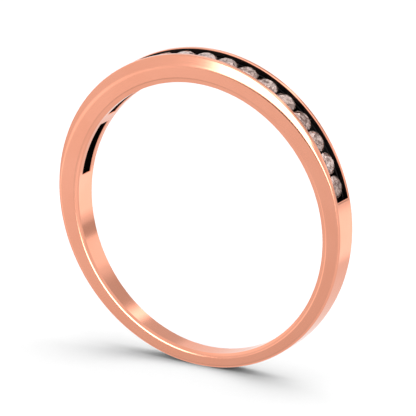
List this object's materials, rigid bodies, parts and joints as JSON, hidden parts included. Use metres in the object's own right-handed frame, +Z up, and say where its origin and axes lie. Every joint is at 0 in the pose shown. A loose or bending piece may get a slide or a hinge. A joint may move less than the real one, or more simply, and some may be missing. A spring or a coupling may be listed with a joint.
{
  "type": "wedding band",
  "caption": "Tapered wedding band with a recessed channel of small round stones over its upper half, rounded bore edges and open windows under the stones.",
  "frame": {"origin": "centre of the bore, half-way across the band's width", "axes": "+Y along the finger, +Z up through the middle of the stone row, +X to the right seen from the -Y side"},
  "size_m": [0.02, 0.002, 0.0199],
  "materials": {
    "rose_gold": "polished rose gold, channel and windows plated black",
    "champagne_stone": "faceted, pale champagne brown"
  },
  "bodies": {
    "root": {"band": "rose_gold", "stone_01": "champagne_stone", "stone_02": "champagne_stone", "stone_03": "champagne_stone", "stone_04": "champagne_stone", "stone_05": "champagne_stone", "stone_06": "champagne_stone", "stone_07": "champagne_stone", "stone_08": "champagne_stone", "stone_09": "champagne_stone", "stone_10": "champagne_stone", "stone_11": "champagne_stone", "stone_12": "champagne_stone", "stone_13": "champagne_stone", "stone_14": "champagne_stone", "stone_15": "champagne_stone", "stone_16": "champagne_stone", "stone_17": "champagne_stone", "stone_18": "champagne_stone", "stone_19": "champagne_stone"}
  },
  "joints": []
}
